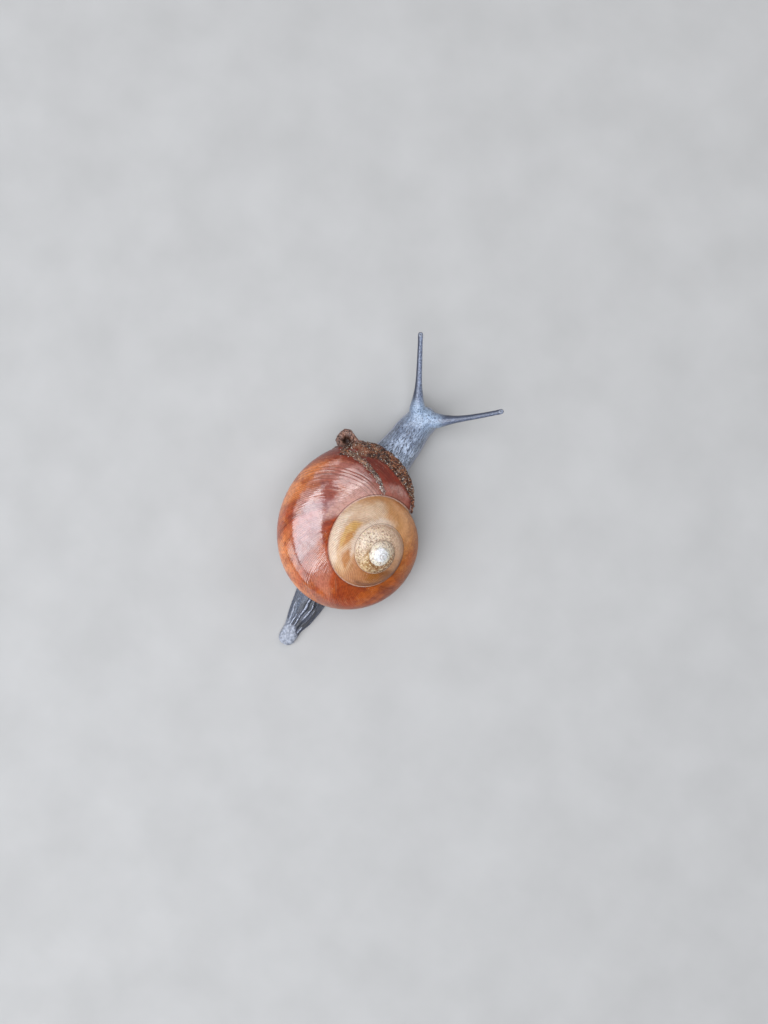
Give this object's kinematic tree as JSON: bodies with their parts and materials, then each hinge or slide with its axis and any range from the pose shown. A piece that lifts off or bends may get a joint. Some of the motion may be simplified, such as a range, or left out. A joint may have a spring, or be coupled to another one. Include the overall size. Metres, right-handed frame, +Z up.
{
  "type": "land snail model",
  "caption": "Life-size still model of a crawling land snail: right-coiled chestnut shell with a crusted lip, slate-blue body, long feelers and a blunt tail.",
  "frame": {"origin": "on the flat sole of the foot, under the shell", "axes": "+Z up from the sole, head towards -Y, the animal's left side towards +X"},
  "size_m": [0.0357, 0.0834, 0.0233],
  "materials": {
    "shell": "wet, glossy, fine slanted ribs, chestnut red with tan upper whorls and a worn white apex",
    "lip_crust": "rough grey-brown crust",
    "skin": "moist, slate blue, fine net of oblong tubercles",
    "tail": "moist dark slate with lengthwise furrows",
    "mantle": "moist, smooth, dark",
    "eye": "glossy black"
  },
  "bodies": {
    "root": {"shell": "shell", "shell_lip": "lip_crust", "lip_lobe": "lip_crust", "mantle_collar": "mantle", "head": "skin", "mouth": "skin", "neck": "skin", "foot_front": "skin", "foot_middle": "skin", "foot_rear": "skin", "tail": "tail", "tail_tip": "tail", "feeler_left_base": "skin", "feeler_left_shaft": "skin", "feeler_left_tip": "skin", "feeler_right_base": "skin", "feeler_right_shaft": "skin", "feeler_right_tip": "skin", "lower_feeler_left": "skin", "lower_feeler_right": "skin", "eye_left": "eye", "eye_right": "eye"}
  },
  "joints": []
}
